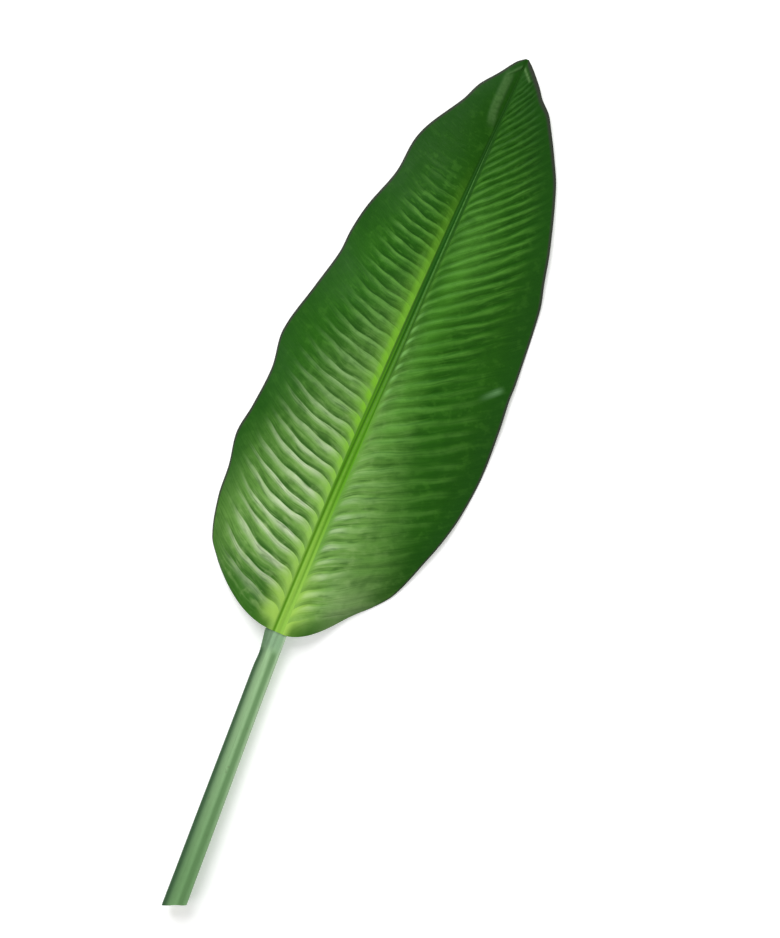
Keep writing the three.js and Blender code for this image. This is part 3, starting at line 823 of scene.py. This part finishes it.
def lay_pleats(n, corner):
    """Painted highlights on the pleats' crests and painted shade in their creases, each half with its own
    place within a pleat and its own strength.
    """
    along, across, phase, envelope = n.along, n.across, n.phase, n.envelope
    uneven = n.streaks((across, 2.0), (n.vein, 0.6), 3.0, 2.0)
    vigour = n.product(envelope, n.step(uneven, 0.3, 0.65, 0.55, 1.0), n.step(n.streak, 0.2, 0.65, 0.6, 1.0))

    # Left half: painted highlight on the crests and painted shade in the creases.
    calm = n.product(n.step(along, 0.3, 0.42, 1.0, 0.62), n.step(along, 0.72, 0.84, 1.0, 0.3),
                     n.step(n.distance, 46.0, 62.0, 1.0, n.step(along, 0.2, 0.36, 0.8, 0.55)))
    crest = n.product(n.step(phase, 0.5, 0.88), n.step(phase, 1.0, 0.95), vigour, n.left)
    n.layer(n.from_base_to_tip("left_crest_highlight_base", "left_crest_highlight_tip", 0.12, 0.6), crest, calm)
    crease = n.product(n.step(phase, 0.42, 0.0), envelope, n.left)
    n.layer(n.from_base_to_tip("left_crease_shade_base", "left_crease_shade_tip", 0.1, 0.6), crease, calm)
    n.layer("corner_veil", corner, 0.55)

    # Right half: painted highlight on the crests and painted shade in the creases, strongest beside the
    # midrib near the base.
    near_rib = n.product(n.step(n.shoulder, 26.0, 10.0), n.step(along, 0.36, 0.2), 1.2)
    calm = n.product(n.step(along, 0.5, 0.66, 0.42, 0.55), n.step(along, 0.78, 0.88, 1.0, 0.5))
    crest = n.product(n.step(phase, 0.38, 0.66), n.step(phase, 0.94, 0.74), vigour, n.right)
    n.layer(n.from_base_to_tip("right_crest_highlight_base", "right_crest_highlight_tip", 0.08, 0.4), crest,
            n.larger(near_rib, calm))
    depth = n.larger(n.product(near_rib, 0.55), n.product(calm, n.step(along, 0.1, 0.7, 0.3, 0.65)))
    crease = n.product(n.step(phase, 0.36, 0.02), envelope, n.right)
    n.layer(n.from_base_to_tip("right_crease_shade_base", "right_crease_shade_tip", 0.08, 0.3), crease, depth)

    # Faint painted shade and highlight on the pleats of the outer right half.
    soft = n.product(n.right, n.step(across, 0.3, 0.46), n.step(across, 0.86, 0.7), n.step(along, 0.56, 0.4),
                     n.step(uneven, 0.3, 0.6, 0.3, 1.0))
    n.layer("soft_crease_shade", n.step(phase, 0.44, 0.1), soft, 0.34)
    n.layer("soft_crest_highlight", n.step(phase, 0.4, 0.62), n.step(phase, 1.0, 0.76), soft, 0.3)


def lay_grain(n, glow):
    """Grain along the veins, a soft painted sheen, mottle and fine veins."""
    grain = n.streaks((n.across, 6.0), (n.vein, 3.4), 7.0, 1.5, 0.6)
    mottle = n.noise(n.place, 95.0, 3.0)
    pleated = n.step(n.envelope, 0.0, 0.5, 0.35, 1.0)
    pale = n.blend("pale_outer", "pale_inner", glow)
    n.layer("grain", n.step(grain, 0.52, 0.74, 0.0, 0.45), pleated)
    # A painted sheen: a broad pale patch on the right half, about two thirds of the way to the tip.
    sheen = n.product(n.step(n.gap(n.along, 0.69), 0.12, 0.0), n.step(n.gap(n.across, 0.26), 0.38, 0.0))
    n.layer("sheen", sheen, 0.3)
    n.layer(pale, n.step(grain, 0.48, 0.26, 0.0, 0.4), pleated)
    n.layer("mottle", n.step(mottle, 0.5, 0.72, 0.0, 0.3), n.step(glow, 0.2, 0.9, 1.0, 0.4))
    n.layer(pale, n.step(mottle, 0.47, 0.3, 0.0, 0.22))
    n.layer("fine_dark", n.step(n.fine, 0.5, 0.72, 0.0, 0.36))
    n.layer("fine_pale", n.step(n.fine, 0.46, 0.28, 0.05, 0.34), glow)


def lay_flanks(n):
    """The bright bands beside the midrib's channel, a paler green that painted highlight brightens further on
    the pleats' lit slopes, and a painted shadow at the foot of the blade.
    """
    along, shoulder, phase = n.along, n.shoulder, n.phase
    # This share is high on the lit, tipward slope of each pleat. Where it scales the bands below, it paints
    # highlight on them.
    swell = n.step(phase, 0.1, 0.75, 0.55, 1.0)
    spread = n.product(n.step(shoulder, 20.0, 3.0), n.larger(swell, n.step(along, 0.34, 0.42, 0.0, 0.9)),
                       n.step(along, 0.32, 0.48, 0.7, 0.4))
    left_flank = n.product(n.larger(n.step(shoulder, 11.0, 2.5), spread), n.step(shoulder, -2.5, 1.0), n.left,
                           n.step(along, 0.84, 0.5))
    n.layer(n.from_base_to_tip("left_flank_base", "left_flank_tip", 0.12, 0.42), left_flank,
            n.step(swell, 0.55, 1.0, n.step(along, 0.34, 0.5, 0.25, 0.8), 1.0),
            n.step(along, 0.4, 0.55, 0.95, 0.75))
    right_flank = n.product(n.step(shoulder, 6.0, 1.5), n.step(shoulder, -2.5, 0.5), n.right,
                            n.step(along, 0.96, 0.3))
    n.layer("right_flank", right_flank, swell, n.step(along, 0.3, 0.5, 0.75, 0.45))
    n.layer("right_middle", n.right, n.step(shoulder, 46.0, 18.0), n.step(shoulder, 4.0, 20.0, 0.15, 1.0),
            n.step(along, 0.26, 0.4), n.step(along, 0.76, 0.6), 0.22)
    # Painted highlights where the right half's crests start beside the midrib.
    n.layer("crest_end_highlights", n.step(shoulder, 0.5, 2.0), n.step(shoulder, 8.0, 3.0), n.step(phase, 0.4, 0.7),
            n.step(phase, 1.0, 0.85), n.step(along, 0.36, 0.44), n.step(along, 0.62, 0.5), n.right, 0.45)
    n.layer("basal", n.step(shoulder, 26.0, 0.0), n.step(along, 0.16, 0.02),
            n.step(swell, 0.55, 1.0, 0.45, 1.0), 0.85)
    # Painted shadow on the blade's foot, on both sides of the stalk where the blade meets it.
    n.layer("foot_shadow", n.step(n.attribute("foot"), 11.0, 1.0), n.step(n.distance, 5.0, 14.0),
            n.step(n.across, 0.4, 0.7, 0.8, 0.4))


def lay_midrib(n):
    """The channel, the dark stripe right of it, and the low rib with a painted highlight on its crown and a
    dark line of painted shade in the groove on each side.
    """
    along, shoulder = n.along, n.shoulder
    groove = n.from_base_to_tip("groove_base", "groove_low", 0.06, 0.3)
    groove = n.from_base_to_tip(groove, "groove_high", 0.34, 0.64)
    groove = n.from_base_to_tip(groove, "groove_tip", 0.7, 0.86)
    n.layer(groove, n.step(shoulder, 0.8, n.step(along, 0.32, 0.5, -0.6, -2.4)))
    inner_edge = n.step(along, 0.52, 0.66, -2.6, -1.4)
    n.layer("stripe", n.right, n.step(shoulder, inner_edge, n.total(inner_edge, 1.2)),
            n.step(shoulder, 2.8, 1.4), n.step(along, 0.38, 0.48), n.step(along, 0.92, 0.84),
            n.step(along, 0.6, 0.74, 0.42, 0.85))
    rib = n.math("SUBTRACT", n.attribute("rib"), n.step(along, 0.2, 0.55, 0.0, 0.6))
    # Painted shade in the narrow groove on each side of the rib.
    left_groove_shade = n.product(n.step(rib, -0.95, -0.65), n.step(rib, -0.25, -0.55),
                          n.step(along, 0.2, 0.5, 0.9, 0.75))
    right_groove_shade = n.product(n.step(rib, 0.15, 0.42), n.step(rib, 0.72, 0.5),
                           n.step(along, 0.02, 0.12, 0.1, 0.6))
    n.layer(n.from_base_to_tip("groove_shade_base", "groove_shade_tip", 0.08, 0.5), n.total(left_groove_shade, right_groove_shade))
    # A painted highlight along the crown of the rib.
    crown_highlight = n.product(n.step(n.gap(rib, -0.05), 0.24, 0.06), n.step(along, 0.9, 0.78))
    n.layer(n.from_base_to_tip("crown_highlight_base", "crown_highlight_tip", 0.1, 0.55), crown_highlight,
            n.step(n.streak, 0.3, 0.6, 0.25, 0.7))
    # Painted shade over the whole blade towards the tip.
    n.layer("tip", n.step(along, 0.7, 0.95, 0.0, 0.4))


def lay_margin(n):
    """The shaded margin with its thin dark line and a painted highlight by the right margin, and the pale
    fold near the tip.
    """
    inset = n.attribute("inset")
    n.layer("margin_shade", n.step(inset, 30.0, 2.0, 0.0, 0.55),
            n.step(n.along, 0.1, 0.24, n.product(n.left, 0.4), 1.0))
    # A painted highlight: a short pale streak by the right margin, where the margin waves.
    off_x = n.math("SUBTRACT", n.reach, GLINT_AT[0])
    off_y = n.math("SUBTRACT", n.product(n.along, LENGTH), GLINT_AT[1])
    lengthwise = n.total(n.product(off_x, GLINT_RUN[0]), n.product(off_y, GLINT_RUN[1]))
    sideways = n.gap(n.product(off_y, GLINT_RUN[0]), n.product(off_x, GLINT_RUN[1]))
    n.layer("margin_glint", n.step(lengthwise, -24.0, 1.0), n.step(lengthwise, 8.0, -2.0),
            n.step(sideways, 5.0, 0.0), n.step(n.fine, 0.3, 0.6, 0.5, 1.0), 0.7)
    n.layer("margin_line", n.step(inset, 3.2, 0.8, 0.0, 0.85))
    n.layer("fold", n.attribute("fold"), n.step(n.streak, 0.25, 0.65, 0.6, 1.0), 0.55)


def upper_face_material():
    n = UpperFaceNodes("leaf_upper", UPPER_TINTS)
    glow, corner = lay_ground(n)
    lay_pleats(n, corner)
    lay_grain(n, glow)
    lay_flanks(n)
    lay_midrib(n)
    lay_margin(n)
    rough = n.step(n.noise(n.place, 60.0, 3.0), 0.3, 0.7, 0.42, 0.56)
    normal = n.bump(n.fine, 0.00025, 0.6)
    normal = n.bump(n.streak, 0.0006, 0.5, normal)
    normal = n.bump(n.noise(n.place, 420.0, 2.0), 0.0001, 0.35, normal)
    return n.finish(rough, normal, Specular_IOR_Level=0.06)


def lower_face_material():
    n = LeafNodes("leaf_lower", LOWER_TINTS)
    off = n.math("ABSOLUTE", n.across)
    n.base = n.blend("dark", "pale", n.step(n.noise(n.place, 18.0, 4.0), 0.3, 0.7))
    n.layer("crease", n.larger(n.step(n.phase, 0.09, 0.0), n.step(n.phase, 0.93, 1.0)), 0.6)
    n.layer("fine", n.step(n.fine, 0.5, 0.75, 0.0, 0.35))
    n.layer("streak", n.step(n.streak, 0.5, 0.75, 0.0, 0.4))
    n.layer("midrib", n.step(off, 0.16, 0.0, 0.0, 0.7))
    n.layer("margin", n.step(off, 0.985, 0.998))
    rough = n.step(n.noise(n.place, 80.0, 3.0), 0.3, 0.7, 0.55, 0.7)
    return n.finish(rough, n.bump(n.fine, 0.0003, 0.7), Specular_IOR_Level=0.35)


def rim_material():
    n = Nodes("leaf_rim", RIM_TINTS)
    grain = n.noise(n.place, 220.0, 3.0)
    n.base = n.blend("green", "brown", n.step(grain, 0.35, 0.65))
    return n.finish(n.step(grain, 0.3, 0.7, 0.6, 0.8))


def stalk_material():
    """Skin that pales towards the neck, with painted shade down the left edge and in a dark line in the
    channel, and painted light in a pale band along the right flange.
    """
    n = Nodes("stalk_skin", STALK_TINTS)
    across = n.attribute("across")
    along = n.attribute("along")
    upper = n.attribute("upper")
    streak = n.streaks((across, 16.0), (along, 9.0), upper, 4.0)
    fibre = n.streaks((across, 60.0), (along, 14.0), upper, 3.0)
    n.base = n.blend("cut_end", "neck", n.step(along, -0.46, -0.05))
    n.layer("streak", n.step(streak, 0.5, 0.75, 0.0, 0.3))
    collar = n.step(along, -0.042, -0.02)
    n.layer("collar", collar, 0.85)
    # Painted shade in the channel: a dark line along its right side.
    line = n.product(n.step(across, -0.05, 0.38), n.step(across, 1.0, 0.56), upper)
    n.layer("line", line, n.step(collar, 0.0, 1.0, 0.8, 0.1))
    # Painted light: a pale band along the right flange, which faces the light.
    band = n.product(n.step(across, 0.72, 0.95), upper)
    n.layer("band", band, n.step(along, -0.42, -0.1, 0.05, 0.65))
    # Painted shade down the left edge, which turns away from the light.
    n.layer("edge", n.step(across, -0.12, -0.86), n.step(collar, 0.0, 1.0, 0.95, 0.6))
    n.layer("fibre", n.step(fibre, 0.55, 0.8, 0.0, 0.3))
    n.layer("fleck", n.step(n.noise(n.place, 160.0, 2.0), 0.66, 0.78, 0.0, 0.3))
    rough = n.step(streak, 0.3, 0.7, 0.4, 0.55)
    return n.finish(rough, n.bump(fibre, 0.0005, 0.6), Specular_IOR_Level=0.25)


def cut_material():
    """Pale tissue with air cells, a ring of skin and dried patches."""
    n = Nodes("stalk_cut", CUT_TINTS)
    cells = n.cells(420.0)
    n.base = n.blend("dark", "pale", n.step(cells, 0.1, 0.6))
    n.layer("cell", n.step(cells, 0.14, 0.02, 0.0, 0.8))
    n.layer("skin", n.step(n.attribute("radial"), 0.8, 0.98))
    n.layer("dried", n.step(n.noise(n.place, 90.0, 3.0), 0.5, 0.75, 0.0, 0.45))
    return n.finish(n.step(cells, 0.1, 0.6, 0.55, 0.75), n.bump(cells, 0.0006, 0.7))


def floor_material():
    n = Nodes("floor_pale", {})
    n.base = n.blend(FLOOR_DARK, FLOOR_PALE, n.noise(n.place, 3.0, 2.0))
    return n.finish(FLOOR_ROUGHNESS, Emission_Color=WHITE, Emission_Strength=FLOOR_GLOW)


def build_floor():
    size = FLOOR_HALF_SIZE
    corners = [(-size, -size, 0), (size, -size, 0), (size, size, 0), (-size, size, 0)]
    mesh = bpy.data.meshes.new("floor")
    mesh.from_pydata(corners, [], [(0, 1, 2, 3)])
    floor = bpy.data.objects.new("floor", mesh)
    bpy.context.scene.collection.objects.link(floor)
    mesh.materials.append(floor_material())


def image_direction(right, up):
    """A direction in the plane of the floor from a direction in the picture."""
    c, s = math.cos(LEAF_LEAN), math.sin(LEAF_LEAN)
    return np.array([right * c - up * s, right * s + up * c, 0.0])


def add_area(name, place, target, power):
    data = bpy.data.lights.new(name, "AREA")
    data.shape = "DISK"
    data.size = LIGHT_SIZE
    data.energy = power
    light = bpy.data.objects.new(name, data)
    light.location = place
    bpy.context.scene.collection.objects.link(light)
    direction = Vector(target) - light.location
    light.rotation_euler = direction.to_track_quat("-Z", "Y").to_euler()


def build_lights():
    centre = np.array([VIEW_CENTRE[0] * MM, VIEW_CENTRE[1] * MM, 0.0])
    for name, (right, up, height), power in LIGHTS:
        place = centre + image_direction(right, up) + np.array([0, 0, height])
        add_area(name, place.tolist(), centre.tolist(), power)
    world = bpy.data.worlds.new("studio")
    world.use_nodes = True
    background = world.node_tree.nodes["Background"]
    background.inputs["Color"].default_value = WHITE
    background.inputs["Strength"].default_value = WORLD_STRENGTH
    bpy.context.scene.world = world


def build_camera():
    data = bpy.data.cameras.new("camera")
    data.type = "PERSP"
    data.sensor_width = SENSOR
    data.sensor_fit = "AUTO"
    data.lens = SENSOR * CAMERA_DISTANCE / (IMAGE_HEIGHT_PX * MM_PER_PX * MM)
    camera = bpy.data.objects.new("camera", data)
    camera.location = (VIEW_CENTRE[0] * MM, VIEW_CENTRE[1] * MM, CAMERA_DISTANCE + LEAF_HEIGHT)
    camera.rotation_euler = (0, 0, LEAF_LEAN)
    bpy.context.scene.collection.objects.link(camera)
    bpy.context.scene.camera = camera


build_camera()
blade = build_blade()
for material in (upper_face_material(), lower_face_material(), rim_material()):
    blade.data.materials.append(material)
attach(blade, "root")
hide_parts("leaf_blade")

stalk = build_stalk()
for material in (stalk_material(), cut_material()):
    stalk.data.materials.append(material)
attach(stalk, "root")
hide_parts("stalk_and_keel")

build_floor()
build_lights()
bpy.context.scene.view_settings.view_transform = "Standard"
